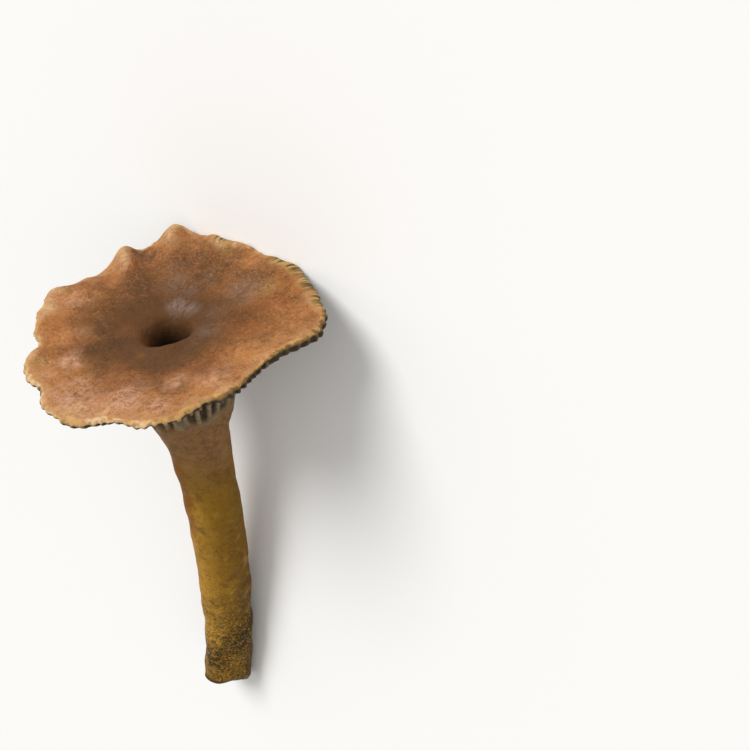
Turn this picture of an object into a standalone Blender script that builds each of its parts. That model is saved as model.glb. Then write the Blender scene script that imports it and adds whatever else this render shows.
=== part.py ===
"""Trumpet chanterelle: one whole fruit body as picked, lying on its side.

The mushroom grew as one piece, so it is one closed solid: a wavy funnel cap with a deep hollow at its
middle, forked ridges under the cap that run down onto the stem, and a slightly bowed stem. It is
modelled upright as it grew, from a turned section that a few rules then deform, and is laid down last.
"""

import math
import random

import bmesh
import bpy
from mathutils import Euler, Vector

MM = 0.001

# Turned section in millimetres, (radius, height above the foot): up out of the hollow, over the cap to
# its margin, back under it and down the stem. It is drawn for a cap whose margin has an even reach.
EVEN_REACH = 20.0
HOLLOW = ((1.2, 43.0), (1.7, 46.0), (1.95, 56.0), (2.3, 66.5), (2.8, 72.4))
DISH = ((2.8, 72.4), (3.15, 74.0), (3.9, 74.8), (7.5, 75.3), (12.5, 75.9), (17.0, 76.5), (19.2, 76.7))
EDGE = ((19.2, 76.7), (20.0, 76.2), (19.6, 75.5))
UNDERSIDE = ((19.6, 75.5), (18.0, 74.7), (15.0, 73.2), (11.5, 70.9), (8.8, 68.0), (7.1, 64.4), (5.8, 59.5))
STEM = ((5.8, 59.5), (5.0, 56.0), (4.4, 50.0), (4.1, 40.0), (4.05, 28.0), (4.0, 15.0), (3.9, 1.5))
FOOT = ((3.9, 1.5), (3.5, 0.3), (2.2, 0.0))

# Each stretch of the section: its points, its rows and how many columns of faces go round it
STRETCHES = {
    "hollow": (HOLLOW, 7, 24),
    "dish": (DISH, 10, 48),
    "edge": (EDGE, 4, 96),
    "underside": (UNDERSIDE, 16, 96),
    "stem": (STEM, 12, 24),
    "foot": (FOOT, 3, 24),
}

# Middle line of the stem: control points evenly spaced up its height, to the right and to the back
LINE_RIGHT = (0.2, 2.9, 0.6, -2.8)
LINE_BACK = (0.0, 1.0, 0.8, -1.2)
LINE_TOP = 77.6

# The margin: degrees round from the right towards the back, reach from the middle, and rise
MARGIN = (
    (0, 22.0, 0.0),
    (13, 20.9, 0.0),
    (27, 20.5, 0.0),
    (43, 18.8, 0.0),
    (60, 18.3, 0.6),
    (72, 19.4, 0.0),
    (82, 20.3, -0.5),
    (92, 20.0, 1.9),
    (102, 19.9, 0.1),
    (108, 20.0, -0.3),
    (116, 18.7, 1.1),
    (126, 18.4, -0.6),
    (134, 18.6, -1.3),
    (142, 19.8, -1.0),
    (152, 21.1, -0.6),
    (166, 19.7, 0.0),
    (179, 18.8, 0.1),
    (186, 17.8, 0.1),
    (197, 19.0, 0.4),
    (207, 19.7, 0.5),
    (218, 19.4, 0.2),
    (231, 21.1, 0.0),
    (244, 20.9, 0.0),
    (254, 19.6, 0.1),
    (270, 20.8, 0.2),
    (281, 20.9, 0.3),
    (292, 19.3, 0.5),
    (301, 20.4, 0.8),
    (311, 19.5, 0.6),
    (322, 18.5, 0.4),
    (334, 20.0, 0.3),
    (345, 22.4, 0.0),
    (353, 22.8, 0.0),
)
SPREAD_FROM = 4.0  # the radius past which the section stretches to the margin's reach
RISE_POWER = 3.0  # how fast the margin's waves die away towards the middle

# Ridges under the cap. The underside is drawn over their crests, and furrows are cut between them.
# Each ridge forks once on its way out to the margin.
RIDGES = 24
FURROW_DEPTH = 1.0
FURROW_AT_MARGIN = 0.4  # share of the full depth where the furrows meet the margin
FORKED = (0.0, 1.0, 0.3, 1.0)  # height of one ridge's four columns, as a share of the furrow's depth
SINGLE = (0.0, 0.5, 1.0, 0.5)
FORK_FROM, FORK_TO = 0.3, 0.62  # share of the way from margin to stem where the forks close
END_FROM, END_TO = 0.84, 0.96  # share of the way where the furrows run out on the stem
END_LENGTH = 0.06
SPACING_JITTER = 0.45  # in columns
EDGE_TEETH = 0.3  # how far the margin stands out at each ridge's end

STEM_OVAL = 0.035
STEM_FURROW = 0.03

# Lying on its side: turns in degrees about the right, back and up axes, and how deep it presses flat
LYING = (-79.1, 36.1, 5.2)
PRESSED_FLAT = 0.3 * MM

CAP_SKIN = ("cap_skin", (0.35, 0.17, 0.075, 1.0), 0.55)
RIDGE_SKIN = ("ridge_skin", (0.2, 0.15, 0.1, 1.0), 0.7)
STEM_SKIN = ("stem_skin", (0.3, 0.16, 0.03, 1.0), 0.6)
SKIN_OF_STRETCH = {"underside": 1, "stem": 2, "foot": 2}


def clear_scene():
    """Removes the objects that Blender starts with."""
    for obj in list(bpy.data.objects):
        bpy.data.objects.remove(obj)


def skin(name, colour, roughness):
    """A matt skin of one colour."""
    material = bpy.data.materials.new(name)
    material.use_nodes = True
    shader = material.node_tree.nodes["Principled BSDF"]
    shader.inputs["Base Color"].default_value = colour
    shader.inputs["Roughness"].default_value = roughness
    shader.inputs["Metallic"].default_value = 0.0
    return material


def smooth(low, high, value):
    """0 up to low, 1 from high on, and an even ease between them."""
    share = min(max((value - low) / (high - low), 0.0), 1.0)
    return share * share * (3.0 - 2.0 * share)


def curve_between(before, start, end, after, share):
    """A point of the smooth curve from start to end, with the points before and after them to aim it."""
    return (
        0.5 * (2.0 * start + (end - before) * share)
        + 0.5 * (2.0 * before - 5.0 * start + 4.0 * end - after) * share**2
        + 0.5 * (3.0 * start - before - 3.0 * end + after) * share**3
    )


def section_rows():
    """Rows of the turned section: stretch name, columns, share of the stretch, point and outward normal."""
    points = []
    for outline, _, _ in STRETCHES.values():
        points += [Vector(point) for point in outline[0 if not points else 1 :]]
    padded = [2 * points[0] - points[1], *points, 2 * points[-1] - points[-2]]
    rows, first = [], 0
    for name, (outline, count, columns) in STRETCHES.items():
        spans = len(outline) - 1
        lengths = [(points[first + k + 1] - points[first + k]).length for k in range(spans)]
        for row in range(count):
            left = sum(lengths) * row / count
            span = 0
            while left > lengths[span]:
                left -= lengths[span]
                span += 1
            four = padded[first + span : first + span + 4]
            share = left / lengths[span]
            point = curve_between(*four, share)
            ahead = curve_between(*four, share + 0.01) - curve_between(*four, share - 0.01)
            rows.append((name, columns, row / count, point, Vector((-ahead.y, ahead.x)).normalized()))
        first += spans
    return rows


def margin_at(degrees):
    """(reach, rise) of the margin at this many degrees round."""
    degrees %= 360.0
    count = len(MARGIN)
    after = next((k for k in range(count) if MARGIN[k][0] > degrees), count)
    four = []
    for k in range(after - 2, after + 2):
        turns, index = divmod(k, count)
        angle, reach, rise = MARGIN[index]
        four.append((angle + 360.0 * turns, reach, rise))
    share = (degrees - four[1][0]) / (four[2][0] - four[1][0])
    return tuple(curve_between(*(point[k] for point in four), share) for k in (1, 2))


def ridge_plan():
    """For each ridge, seeded: its shift round the cap, where its fork closes and where its furrow ends."""
    draw = random.Random(7)
    return [
        (
            draw.uniform(-SPACING_JITTER, SPACING_JITTER),
            draw.uniform(FORK_FROM, FORK_TO),
            draw.uniform(END_FROM, END_TO),
        )
        for _ in range(RIDGES)
    ]


def furrow(plan, column, share):
    """How deep the furrow is, 0 to 1, on one of a ridge's four columns at a share of the way to the stem."""
    _, fork, end = plan[column // 4]
    closed = smooth(fork - 0.12, fork + 0.12, share)
    height = FORKED[column % 4] * (1.0 - closed) + SINGLE[column % 4] * closed
    growing = FURROW_AT_MARGIN + (1.0 - FURROW_AT_MARGIN) * smooth(0.0, 0.3, share)
    return (1.0 - height) * growing * (1.0 - smooth(end - END_LENGTH, end, share))


def column_degrees(plan, column):
    """Where a column of faces stands round the cap. The columns of one ridge shift together."""
    return (column + plan[column // 4][0]) * 360.0 / (4 * RIDGES)


def line_at(height):
    """(point, direction) of the stem's middle line at a height. Past its top it runs on straight."""
    share = min(max(height / LINE_TOP, 0.0), 1.0)
    past = height - share * LINE_TOP
    place, slope = [], []
    for a, b, c, d in (LINE_RIGHT, LINE_BACK):
        rest = 1.0 - share
        place.append(a * rest**3 + 3 * b * rest**2 * share + 3 * c * rest * share**2 + d * share**3)
        pull = 3 * ((b - a) * rest**2 + 2 * (c - b) * rest * share + (d - c) * share**2)
        slope.append(pull / LINE_TOP)
    direction = Vector((*slope, 1.0))
    point = Vector((*place, share * LINE_TOP)) + direction * past
    return point, direction.normalized()


def placed(radius, height, degrees):
    """The upright place of a point of the section turned to an angle: spread to the margin, then bent."""
    out = max(radius - SPREAD_FROM, 0.0) / (EVEN_REACH - SPREAD_FROM)
    reach, rise = margin_at(degrees)
    radius += out * (reach - EVEN_REACH)
    height += rise * out**RISE_POWER
    turn = math.radians(degrees)
    slim = 1.0 - out
    radius *= 1.0 + slim * (STEM_OVAL * math.cos(2.0 * turn) + STEM_FURROW * math.cos(3.0 * turn + 1.0))
    middle, up = line_at(height)
    right = (Vector((1.0, 0.0, 0.0)) - up * up.x).normalized()
    back = up.cross(right)
    return middle + radius * (math.cos(turn) * right + math.sin(turn) * back)


def ring(mesh, row, plan):
    """One row of the section, turned round its columns, with the furrows cut into it."""
    name, columns, share, point, normal = row
    step = 4 * RIDGES // columns
    made = []
    for column in range(0, 4 * RIDGES, step):
        radius, height = point
        if name == "underside":
            depth = FURROW_DEPTH * furrow(plan, column, share)
            radius -= normal.x * depth
            height -= normal.y * depth
        if name == "edge":
            radius -= EDGE_TEETH * share * furrow(plan, column, 0.0) / FURROW_AT_MARGIN
        made.append(mesh.verts.new(placed(radius, height, column_degrees(plan, column)) * MM))
    return made


def bridge(mesh, inner, outer, material_index):
    """Faces between two rings, where one may have twice or four times the columns of the other."""
    few, many = sorted((inner, outer), key=len)
    per = len(many) // len(few)
    for k in range(len(few)):
        here, after = few[k], few[(k + 1) % len(few)]
        fan = [many[(k * per + j) % len(many)] for j in range(per + 1)]
        half = (per + 1) // 2
        faces = [(here, fan[j], fan[j + 1]) for j in range(half)]
        faces += [(after, fan[j], fan[j + 1]) for j in range(half, per)]
        faces.append((here, fan[half], after))
        for corners in faces:
            face = mesh.faces.new(corners)
            face.material_index = material_index
            face.smooth = True


def fruit_body():
    """The whole mushroom as one object, upright."""
    plan = ridge_plan()
    mesh = bmesh.new()
    rows = section_rows()
    rings = [ring(mesh, row, plan) for row in rows]
    for k in range(len(rings) - 1):
        bridge(mesh, rings[k], rings[k + 1], SKIN_OF_STRETCH.get(rows[k][0], 0))
    for end, material_index in ((rings[0], 0), (rings[-1], 2)):
        face = mesh.faces.new(end)
        face.material_index = material_index
    bmesh.ops.recalc_face_normals(mesh, faces=mesh.faces)
    data = bpy.data.meshes.new("fruit_body")
    mesh.to_mesh(data)
    mesh.free()
    for name, colour, roughness in (CAP_SKIN, RIDGE_SKIN, STEM_SKIN):
        data.materials.append(skin(name, colour, roughness))
    obj = bpy.data.objects.new("fruit_body", data)
    bpy.context.scene.collection.objects.link(obj)
    return obj


def lay_down(obj):
    """Turns the mushroom onto its side, centres it over the origin and presses its lowest points flat."""
    turn = Euler([math.radians(angle) for angle in LYING]).to_matrix().to_4x4()
    obj.data.transform(turn)
    corners = [vertex.co for vertex in obj.data.vertices]
    low = [min(corner[k] for corner in corners) for k in range(3)]
    high = [max(corner[k] for corner in corners) for k in range(3)]
    shift = Vector(((low[0] + high[0]) / 2, (low[1] + high[1]) / 2, low[2] + PRESSED_FLAT))
    for vertex in obj.data.vertices:
        vertex.co -= shift
        vertex.co.z = max(vertex.co.z, 0.0)


def main():
    clear_scene()
    lay_down(fruit_body())


main()
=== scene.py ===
"""Looks of a trumpet chanterelle that lies on a pale surface as picked.

The fruit body is one mesh. It is turned upright from the same section, margin and ridges as the solid
that it replaces, only finer, and is then laid on its side where the solid lies.
"""

import logging
import math
import random
from dataclasses import dataclass
from enum import Enum

import bpy
import numpy as np
from mathutils import Euler, Matrix, Vector, noise


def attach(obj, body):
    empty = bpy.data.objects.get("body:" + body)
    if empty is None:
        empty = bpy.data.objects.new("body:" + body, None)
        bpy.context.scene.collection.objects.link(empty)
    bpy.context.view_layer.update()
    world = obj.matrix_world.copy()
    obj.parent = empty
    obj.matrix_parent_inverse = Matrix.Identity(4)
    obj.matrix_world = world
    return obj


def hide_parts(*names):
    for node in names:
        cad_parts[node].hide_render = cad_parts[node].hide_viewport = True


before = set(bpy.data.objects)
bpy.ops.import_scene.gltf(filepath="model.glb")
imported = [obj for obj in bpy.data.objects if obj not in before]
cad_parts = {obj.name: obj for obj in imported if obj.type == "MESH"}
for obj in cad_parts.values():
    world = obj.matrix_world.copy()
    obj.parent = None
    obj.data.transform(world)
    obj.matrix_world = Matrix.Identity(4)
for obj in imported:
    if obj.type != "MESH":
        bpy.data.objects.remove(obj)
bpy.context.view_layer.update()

MM = 0.001
NODE = "fruit_body"
BODY = "root"
SKIN = "fruit_body_skin"

log = logging.getLogger("trumpet_chanterelle")

Array = np.ndarray
Pair = tuple[float, float]
Triple = tuple[float, float, float]
Outline = tuple[Pair, ...]
Colour = tuple[float, float, float, float]
Face = tuple[int, ...]
Tree = bpy.types.NodeTree
Socket = bpy.types.NodeSocket


class Stretch(Enum):
    """The stretches of the turned section, in the order that it is drawn."""

    HOLLOW = 0
    DISH = 1
    EDGE = 2
    UNDERSIDE = 3
    STEM = 4
    FOOT = 5


class Lumps(Enum):
    """The sets of random lumps, by what each of them shapes."""

    MARGIN_REACH = 1
    MARGIN_RISE = 2
    RIDGE_WANDER = 3
    VEINS = 4
    SKIN = 5
    PIMPLES = 6
    STEM_GROOVES = 7
    STEM_SWELLINGS = 8
    TORN_END = 9


# How far apart in the noise the sets of lumps are drawn
SETS_APART = 17.3


def linear(colour: str) -> Colour:
    """Turns an sRGB hex colour into linear light.

    Args:
        colour: six hex digits after a hash sign.

    Returns:
        Red, green, blue and alpha.
    """
    parts = [int(colour[k : k + 2], 16) / 255.0 for k in (1, 3, 5)]
    light = [part / 12.92 if part <= 0.04045 else ((part + 0.055) / 1.055) ** 2.4 for part in parts]
    return (*light, 1.0)


def ease(low: float, high: float, value: Array) -> Array:
    """Eases from 0 at low to 1 at high.

    Args:
        low: the value up to which the result is 0.
        high: the value from which the result is 1. It may be the lower of the two.
        value: what is eased.

    Returns:
        The shares, 0 to 1.
    """
    share = np.clip((value - low) / (high - low), 0.0, 1.0)
    return share * share * (3.0 - 2.0 * share)


def curve_between(four: tuple[Array, ...], share: Array) -> Array:
    """Follows the smooth curve through points, from the second of four to the third.

    Args:
        four: the points before, at the start, at the end and after.
        share: how far along, 0 to 1.

    Returns:
        The points on the curve.
    """
    before, start, end, after = four
    return (
        0.5 * (2.0 * start + (end - before) * share)
        + 0.5 * (2.0 * before - 5.0 * start + 4.0 * end - after) * share**2
        + 0.5 * (3.0 * start - before - 3.0 * end + after) * share**3
    )


def lumps(places: Array, size: float, drawn: Lumps) -> Array:
    """Draws smooth random lumps in space.

    Args:
        places: points along the last axis.
        size: how far apart the lumps stand, in the unit of the points.
        drawn: which set of lumps to draw.

    Returns:
        A height for each point, from about -1 to 1.
    """
    flat = places.reshape(-1, 3) / size + SETS_APART * drawn.value
    heights = np.fromiter((noise.noise(point) for point in flat.tolist()), float, len(flat))
    return 2.0 * heights.reshape(places.shape[:-1])


def put(name: str, data: bpy.types.ID) -> bpy.types.Object:
    """Puts an object with a mesh, a light or a camera in the scene."""
    item = bpy.data.objects.new(name, data)
    bpy.context.scene.collection.objects.link(item)
    return item


@dataclass(frozen=True)
class Section:
    """The turned section in millimetres: (radius, height above the foot), out of the hollow and down."""

    even_reach: float = 20.0
    hollow: Outline = ((1.2, 43.0), (1.7, 46.0), (1.95, 56.0), (2.35, 66.5), (2.85, 72.0))
    dish: Outline = (
        (2.85, 72.0), (3.25, 73.7), (4.2, 74.7), (7.2, 75.25), (12.5, 75.9), (17.0, 76.5), (19.2, 76.7),
    )
    edge: Outline = ((19.2, 76.7), (20.0, 76.2), (19.6, 75.5))
    underside: Outline = (
        (19.6, 75.5), (18.0, 74.7), (15.0, 73.2), (11.5, 70.9), (8.8, 68.0), (7.1, 64.4), (5.75, 59.5),
    )
    stem: Outline = (
        (5.75, 59.5), (4.85, 56.0), (4.2, 50.0), (4.1, 40.0), (4.0, 28.0), (3.85, 15.0), (3.75, 0.4),
    )
    foot: Outline = ((3.75, 0.4), (3.62, 0.05), (2.4, 0.1), (1.0, 0.35), (0.3, 0.4))
    slope_step: float = 0.01

    def outline(self, stretch: Stretch) -> Outline:
        """Returns the outline points of one stretch."""
        return getattr(self, stretch.name.lower())

    def lengths(self, stretch: Stretch) -> Array:
        """Returns the distances between the outline points of one stretch, in millimetres."""
        return np.linalg.norm(np.diff(np.array(self.outline(stretch)), axis=0), axis=1)

    def along(self, stretch: Stretch, rows: int) -> Array:
        """Finds how far rows lie from the margin: below 0 on top of the cap and above 0 under it.

        Args:
            stretch: which stretch.
            rows: how many rows it has.

        Returns:
            Distances in millimetres, one for each row.
        """
        arcs = [float(self.lengths(each).sum()) for each in Stretch]
        margin = sum(arcs[: Stretch.EDGE.value]) + 0.5 * arcs[Stretch.EDGE.value]
        return sum(arcs[: stretch.value]) - margin + arcs[stretch.value] * np.arange(rows) / rows

    def sample(self, stretch: Stretch, rows: int) -> tuple[Array, Array, Array]:
        """Reads evenly spaced rows from one stretch.

        Args:
            stretch: which stretch.
            rows: how many rows; the stretch's last point belongs to the next stretch.

        Returns:
            Shares of the stretch's length, points and outward normals, one for each row.
        """
        outlines = [self.outline(each) for each in Stretch]
        first = sum(len(outline) - 1 for outline in outlines[: stretch.value])
        points = np.array([self.hollow[0], *(point for outline in outlines for point in outline[1:])])
        padded = np.array([2 * points[0] - points[1], *points, 2 * points[-1] - points[-2]])
        lengths = self.lengths(stretch)
        marks = np.concatenate(([0.0], np.cumsum(lengths)))
        shares = np.arange(rows) / rows
        along = shares * marks[-1]
        span = np.clip(np.searchsorted(marks, along, side="right") - 1, 0, len(lengths) - 1)
        local = ((along - marks[span]) / lengths[span])[:, None]
        four = tuple(padded[first + span + k] for k in range(4))
        ahead = curve_between(four, local + self.slope_step) - curve_between(four, local - self.slope_step)
        normals = np.stack((-ahead[:, 1], ahead[:, 0]), axis=1)
        normals /= np.linalg.norm(normals, axis=1, keepdims=True)
        return shares, curve_between(four, local), normals


@dataclass(frozen=True)
class MiddleLine:
    """The bowed middle line of the stem, by control points evenly spaced up its height, in millimetres."""

    right: tuple[float, ...] = (0.2, 2.9, 0.6, -2.8)
    back: tuple[float, ...] = (0.0, 1.0, 0.8, -1.2)
    top: float = 77.6

    def frame_at(self, height: Array) -> tuple[Array, Array, Array]:
        """Finds the line at heights. Past its top it runs on straight.

        Args:
            height: heights above the foot, in millimetres.

        Returns:
            Points on the line, and the directions to the right and to the back across it.
        """
        share = np.clip(height / self.top, 0.0, 1.0)
        rest = 1.0 - share
        place, slope = [], []
        for a, b, c, d in (self.right, self.back):
            place.append(a * rest**3 + 3 * b * rest**2 * share + 3 * c * rest * share**2 + d * share**3)
            slope.append(3 * ((b - a) * rest**2 + 2 * (c - b) * rest * share + (d - c) * share**2) / self.top)
        up = np.stack((*slope, np.ones_like(share)), axis=-1)
        point = np.stack((*place, share * self.top), axis=-1) + up * (height - share * self.top)[..., None]
        up /= np.linalg.norm(up, axis=-1, keepdims=True)
        right = np.array((1.0, 0.0, 0.0)) - up * up[..., :1]
        right /= np.linalg.norm(right, axis=-1, keepdims=True)
        return point, right, np.cross(up, right)


@dataclass(frozen=True)
class Margin:
    """The cap's margin: degrees round from the right towards the back, reach and rise in millimetres."""

    table: tuple[Triple, ...] = (
        (0, 22.0, 0.0), (13, 20.9, 0.0), (27, 20.5, 0.0), (43, 18.8, 0.0), (60, 18.3, 0.6), (72, 19.4, 0.0),
        (82, 20.3, -0.5), (92, 20.0, 1.9), (102, 19.9, 0.1), (108, 20.0, -0.3), (116, 18.7, 1.1),
        (126, 18.4, -0.6), (134, 18.6, -1.3), (142, 19.8, -1.0), (152, 21.1, -0.6), (166, 19.7, 0.0),
        (179, 18.8, 0.1), (186, 17.8, 0.1), (197, 19.0, 0.4), (207, 19.7, 0.5), (218, 19.4, 0.2),
        (231, 21.1, 0.0), (244, 20.9, 0.0), (254, 19.6, 0.1), (270, 20.8, 0.2), (281, 20.9, 0.3),
        (292, 19.3, 0.5), (301, 20.4, 0.8), (311, 19.5, 0.6), (322, 18.5, 0.4), (334, 20.0, 0.3),
        (345, 22.4, 0.0), (353, 22.8, 0.0),
    )
    crinkle_size: float = 2.6
    crinkle_reach: float = 0.16
    crinkle_rise: float = 0.3

    def at(self, degrees: Array) -> tuple[Array, Array]:
        """Finds how far the margin reaches and rises at angles round the cap.

        Args:
            degrees: the angles.

        Returns:
            Reach and rise, in millimetres.
        """
        table = np.array(self.table)
        turn = np.array((360.0, 0.0, 0.0))
        padded = np.concatenate((table[-2:] - turn, table, table[:2] + turn))
        degrees = np.mod(degrees, 360.0)
        after = np.searchsorted(padded[:, 0], degrees, side="right")
        four = tuple(padded[after + k] for k in (-2, -1, 0, 1))
        share = (degrees - four[1][..., 0]) / (four[2][..., 0] - four[1][..., 0])
        reach, rise = (curve_between(tuple(point[..., k] for point in four), share) for k in (1, 2))
        turned = np.radians(degrees)
        rim = Section.even_reach * np.stack((np.cos(turned), np.sin(turned), np.zeros_like(turned)), axis=-1)
        reach = reach + self.crinkle_reach * lumps(rim, self.crinkle_size, Lumps.MARGIN_REACH)
        return reach, rise + self.crinkle_rise * lumps(rim, self.crinkle_size, Lumps.MARGIN_RISE)


@dataclass(frozen=True)
class Grid:
    """The points of one stretch, row by row.

    Attributes:
        stretch: which stretch.
        share: how far along the stretch they lie, 0 to 1.
        column: places round the cap in ridges, 0 to the ridges' count.
        degrees: angles round from the right towards the back.
        radius: distances from the middle, in millimetres.
        notched: how deeply the margin is notched there, 0 to 1.
    """

    stretch: Stretch
    share: Array
    column: Array
    degrees: Array
    radius: Array
    notched: Array


@dataclass(frozen=True)
class Ridges:
    """Forked ridges under the cap, with furrows cut between them.

    Lengths are in millimetres. Where a ridge forks, ends or reaches its full size is a share of the
    underside, from the margin to the stem. Spreads and wander are in ridges, and jitter is in the steps
    that a ridge's spacing is cut into. Across and along say how many lumps of the wander and of the veins
    there are to a ridge and to the underside's length.
    """

    count: int = 24
    furrow_depth: float = 1.0
    depth_at_margin: float = 0.15
    notched_depth: float = 0.42
    full_at: float = 0.3
    fork: Pair = (0.3, 0.62)
    fork_length: float = 0.12
    fork_spread: float = 0.25
    second_fork: Pair = (0.08, 0.24)
    second_fork_length: float = 0.07
    second_fork_spread: float = 0.125
    end: Pair = (0.84, 0.96)
    end_length: float = 0.05
    steps: float = 4.0
    jitter: float = 0.45
    teeth: float = 0.06
    notched_teeth: float = 0.1
    notched_lip: float = 0.4
    notched_hang: float = 0.55
    hang_share: float = 0.3
    cut_on_edge: Pair = (0.1, 0.7)
    half_width: Pair = (0.29, 0.5)
    full_width_at: float = 0.8
    steepness: int = 4
    wander: float = 0.04
    wander_across: float = 3.0
    wander_along: float = 9.0
    vein_height: float = 0.3
    veins_across: float = 2.0
    veins_along: float = 12.0
    plan_seed: int = 7
    second_fork_seed: int = 11

    def plan(self) -> Array:
        """Draws each ridge's shift round the cap, where its fork closes and where its furrow ends."""
        draw = random.Random(self.plan_seed)
        bounds = ((-self.jitter, self.jitter), self.fork, self.end)
        return np.array([[draw.uniform(*bound) for bound in bounds] for _ in range(self.count)])

    def second_forks(self) -> Array:
        """Draws where the two twigs of each ridge fork again."""
        draw = random.Random(self.second_fork_seed)
        return np.array([[draw.uniform(*self.second_fork) for _ in range(2)] for _ in range(self.count)])

    def degrees(self, column: Array) -> Array:
        """Finds where columns stand round the cap.

        Args:
            column: places in ridges, 0 to the ridges' count.

        Returns:
            Angles in degrees.
        """
        shifts = self.plan()[:, 0]
        ridge = np.floor(column).astype(int) % self.count
        within = self.steps * (column - np.floor(column))
        moving = np.clip(within - (self.steps - 1.0), 0.0, 1.0)
        shift = shifts[ridge] * (1.0 - moving) + shifts[(ridge + 1) % self.count] * moving
        return (self.steps * column + shift) * 360.0 / (self.steps * self.count)

    def inwards(self, grid: Grid) -> Array:
        """Returns how far along the underside points lie, 0 to 1. Those of the cap's edge are at 0."""
        return grid.share if grid.stretch is Stretch.UNDERSIDE else np.zeros_like(grid.share)

    def furrow(self, grid: Grid) -> Array:
        """Finds the furrows between the ridges, which only the cap's edge and underside have.

        Args:
            grid: the points.

        Returns:
            0 on a ridge's crest and 1 at the bottom of a furrow.
        """
        if grid.stretch not in (Stretch.EDGE, Stretch.UNDERSIDE):
            return np.zeros_like(grid.share)
        share = self.inwards(grid)
        plan, second = self.plan(), self.second_forks()
        slim, broad = self.half_width
        width = slim + (broad - slim) * ease(0.0, self.full_width_at, share)
        spacing = 2.0 * math.pi * grid.radius / self.count
        ridge = np.floor(grid.column).astype(int)
        within = grid.column - ridge
        flat = np.zeros_like(share)
        veins = np.stack((self.veins_across * grid.column, self.veins_along * share, flat), axis=-1)
        crest = self.vein_height * np.clip(lumps(veins, 1.0, Lumps.VEINS), 0.0, 1.0)
        for near in (-1, 0, 1):
            each = (ridge + near) % self.count
            path = np.stack((self.wander_across * each, self.wander_along * share, flat), axis=-1)
            middle = 0.5 + self.wander * lumps(path, 1.0, Lumps.RIDGE_WANDER)
            opened = 1.0 - ease(-self.fork_length, self.fork_length, share - plan[each, 1])
            for side, away in enumerate((-1, 1)):
                parted = share - second[each, side]
                parted = 1.0 - ease(-self.second_fork_length, self.second_fork_length, parted)
                for twig in (-1, 1):
                    line = middle + away * self.fork_spread * opened + twig * self.second_fork_spread * parted
                    off = (within - near - line) * spacing / width
                    crest = np.maximum(crest, 1.0 / (1.0 + off**self.steepness))
        end = plan[ridge % self.count, 2] * (1.0 - within) + plan[(ridge + 1) % self.count, 2] * within
        furrow = (1.0 - crest) * (1.0 - ease(-self.end_length, 0.0, share - end))
        return furrow * ease(*self.cut_on_edge, grid.share) if grid.stretch is Stretch.EDGE else furrow

    def depth(self, grid: Grid) -> Array:
        """Returns how deep a full furrow is cut, in millimetres."""
        margin = self.depth_at_margin + self.notched_depth * grid.notched
        return self.furrow_depth * (margin + (1.0 - margin) * ease(0.0, self.full_at, self.inwards(grid)))

    def hang(self, grid: Grid) -> Array:
        """Finds how much lower the ridges' ends hang at the margin where it is notched.

        Args:
            grid: the points.

        Returns:
            Drops in millimetres.
        """
        lowest = {Stretch.EDGE: 1.0, Stretch.UNDERSIDE: 0.0}
        if grid.stretch not in lowest:
            return np.zeros_like(grid.share)
        return self.notched_hang * grid.notched * ease(self.hang_share, lowest[grid.stretch], grid.share)

    def drawn_in(self, grid: Grid, furrow: Array) -> Array:
        """Returns how many millimetres the cap's edge is drawn in between its small teeth."""
        teeth = self.teeth + self.notched_teeth * grid.notched
        return teeth * grid.share * furrow * (grid.stretch is Stretch.EDGE)


@dataclass(frozen=True)
class Lying:
    """How the upright mushroom is laid down: turns in degrees, and a centring shift in millimetres."""

    turns: Triple = (-79.1, 36.1, 5.2)
    shift: Triple = (0.257, 40.399, -3.468)

    def matrix(self) -> Matrix:
        """Returns the move from upright millimetres to where it lies, still in millimetres."""
        turn = Euler([math.radians(angle) for angle in self.turns]).to_matrix().to_4x4()
        return Matrix.Translation(-Vector(self.shift)) @ turn


@dataclass(frozen=True)
class Fold:
    """A fold that runs in from the cap's margin.

    It is given by its angle, its height or depth, its width and how far from the middle it starts, in
    degrees and millimetres. It is highest a little inside the margin, where part of it is gone again.
    """

    degrees: float
    height: float
    width: float
    starts: float = 12.0
    highest: float = 18.0
    gone_at_margin: float = 0.6

    def rise(self, radius: Array, degrees: Array) -> Array:
        """Finds how far the fold lifts the cap.

        Args:
            radius: distances from the middle of an even cap, in millimetres.
            degrees: angles round the cap.

        Returns:
            Rises in millimetres.
        """
        off = np.radians(np.mod(degrees - self.degrees + 180.0, 360.0) - 180.0) * radius / self.width
        rising = ease(self.starts, self.highest, radius)
        falling = 1.0 - self.gone_at_margin * ease(self.highest, Section.even_reach, radius)
        return self.height * np.exp(-(off**2)) * rising * falling


FOLDS = tuple(
    Fold(*measures)
    for measures in (
        (94.0, 0.7, 1.3), (102.0, -0.5, 1.6), (86.0, -0.4, 1.6), (117.0, 0.6, 1.1), (109.5, -0.6, 1.3),
        (127.0, -0.4, 1.6), (143.0, 0.4, 1.8), (187.0, -0.6, 1.3, 14.0), (199.0, 0.6, 1.5, 14.0),
        (232.0, 0.4, 2.5), (252.0, -0.5, 1.4, 14.0), (275.0, 0.4, 2.6), (322.0, -0.4, 2.4),
        (68.0, 0.4, 1.4, 14.0), (60.0, -0.4, 1.6, 14.0), (28.0, 0.3, 2.4),
    )
)


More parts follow.
